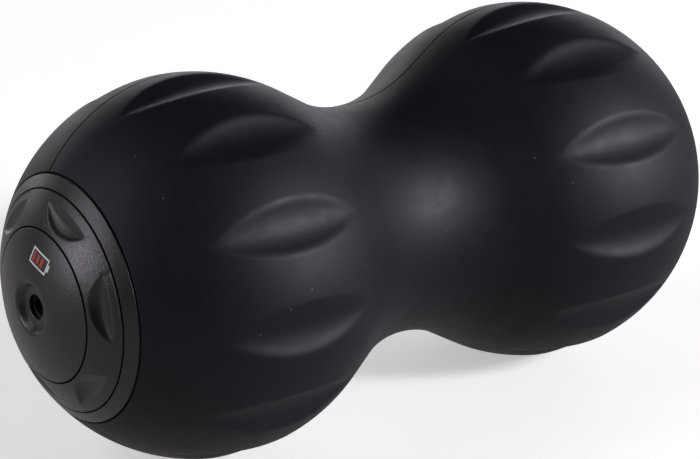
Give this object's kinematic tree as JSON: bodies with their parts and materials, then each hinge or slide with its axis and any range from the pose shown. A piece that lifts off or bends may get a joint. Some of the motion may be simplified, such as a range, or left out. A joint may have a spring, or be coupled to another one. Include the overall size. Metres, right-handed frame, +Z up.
{
  "type": "vibrating double-ball massage roller",
  "caption": "Double-ball vibrating massage roller with leaf-shaped scoops, a waist, ringed end caps, a charging inlet at one end and a power button at the other.",
  "frame": {"origin": "middle of the waist, on the long axis", "axes": "+X along the long axis towards the switch end, +Z up with one scoop of each ball facing straight down"},
  "size_m": [0.2402, 0.113, 0.113],
  "materials": {
    "black_silicone": "matte soft-touch silicone",
    "cap_plastic": "fine-grained moulded plastic",
    "frame_plastic": "plain moulded plastic",
    "zinc_steel": "zinc-plated steel",
    "weight_metal": "sintered metal",
    "motor_can_steel": "nickel-plated drawn steel",
    "brass": "turned brass",
    "ferrite": "sintered ferrite",
    "core_iron": "stacked lamination",
    "isolator_rubber": "soft rubber",
    "circuit_board": "solder-masked board",
    "switch_body": "moulded plastic",
    "cell_sleeve": "shrink sleeve",
    "nickel_strip": "nickel strip",
    "light_pipe": "clear moulded plastic",
    "red_wire": "insulated wire",
    "black_wire": "insulated wire",
    "grey_cable": "jacketed two-core cable"
  },
  "bodies": {
    "body": {"battery_cell_1": "cell_sleeve", "battery_cell_2": "cell_sleeve", "battery_holder": "frame_plastic", "battery_wire_black": "black_wire", "battery_wire_red": "red_wire", "button_spring": "zinc_steel", "cell_strip": "nickel_strip", "charge_board": "circuit_board", "control_board": "circuit_board", "control_disc": "cap_plastic", "cradle_lower": "frame_plastic", "cradle_screw_1": "zinc_steel", "cradle_screw_2": "zinc_steel", "cradle_upper": "frame_plastic", "far_bush": "brass", "far_isolator": "isolator_rubber", "front_shell": "frame_plastic", "front_skin": "black_silicone", "jack_body": "switch_body", "jack_pin": "brass", "light_pipe_1": "light_pipe", "light_pipe_2": "light_pipe", "light_pipe_3": "light_pipe", "light_pipe_4": "light_pipe", "magnet_ring": "ferrite", "motor_can": "motor_can_steel", "motor_end_cap": "switch_body", "motor_wire_black": "black_wire", "motor_wire_red": "red_wire", "near_bush": "brass", "near_isolator": "isolator_rubber", "port_bezel_ring": "cap_plastic", "port_bezel_screw_1": "zinc_steel", "port_bezel_screw_2": "zinc_steel", "port_bezel_screw_3": "zinc_steel", "port_board_screw": "zinc_steel", "port_disc": "cap_plastic", "port_disc_screw_1": "zinc_steel", "port_disc_screw_2": "zinc_steel", "port_end_frame": "frame_plastic", "rear_shell": "frame_plastic", "rear_skin": "black_silicone", "supply_cable": "grey_cable", "switch_bezel_ring": "cap_plastic", "switch_bezel_screw_1": "zinc_steel", "switch_bezel_screw_2": "zinc_steel", "switch_bezel_screw_3": "zinc_steel", "switch_board_screw": "zinc_steel", "switch_disc_screw_1": "zinc_steel", "switch_disc_screw_2": "zinc_steel", "switch_end_frame": "frame_plastic", "tact_switch": "switch_body"},
    "port_ring": {"port_grip_ring": "cap_plastic"},
    "switch_ring": {"switch_grip_ring": "cap_plastic"},
    "button": {"power_button": "cap_plastic"},
    "rotor": {"motor_shaft": "zinc_steel", "rotor_core": "core_iron", "near_weight": "weight_metal", "far_weight": "weight_metal"}
  },
  "joints": [
    {"name": "port_ring_turn", "type": "hinge", "parent": "body", "child": "port_ring", "pos_m": [-0.1089, 0, 0], "axis": [1, 0, 0], "range_deg": [0, 30]},
    {"name": "switch_ring_turn", "type": "hinge", "parent": "body", "child": "switch_ring", "pos_m": [0.1089, 0, 0], "axis": [-1, 0, 0], "range_deg": [0, 30]},
    {"name": "button_press", "type": "slide", "parent": "body", "child": "button", "axis": [-1, 0, 0], "range_m": [0, 0.001], "stiffness_N_per_m": 600, "springref_m": -0.002, "deforming": ["button_spring"]},
    {"name": "rotor_spin", "type": "hinge", "parent": "body", "child": "rotor", "pos_m": [0, 0, 0], "axis": [1, 0, 0], "continuous": true}
  ]
}
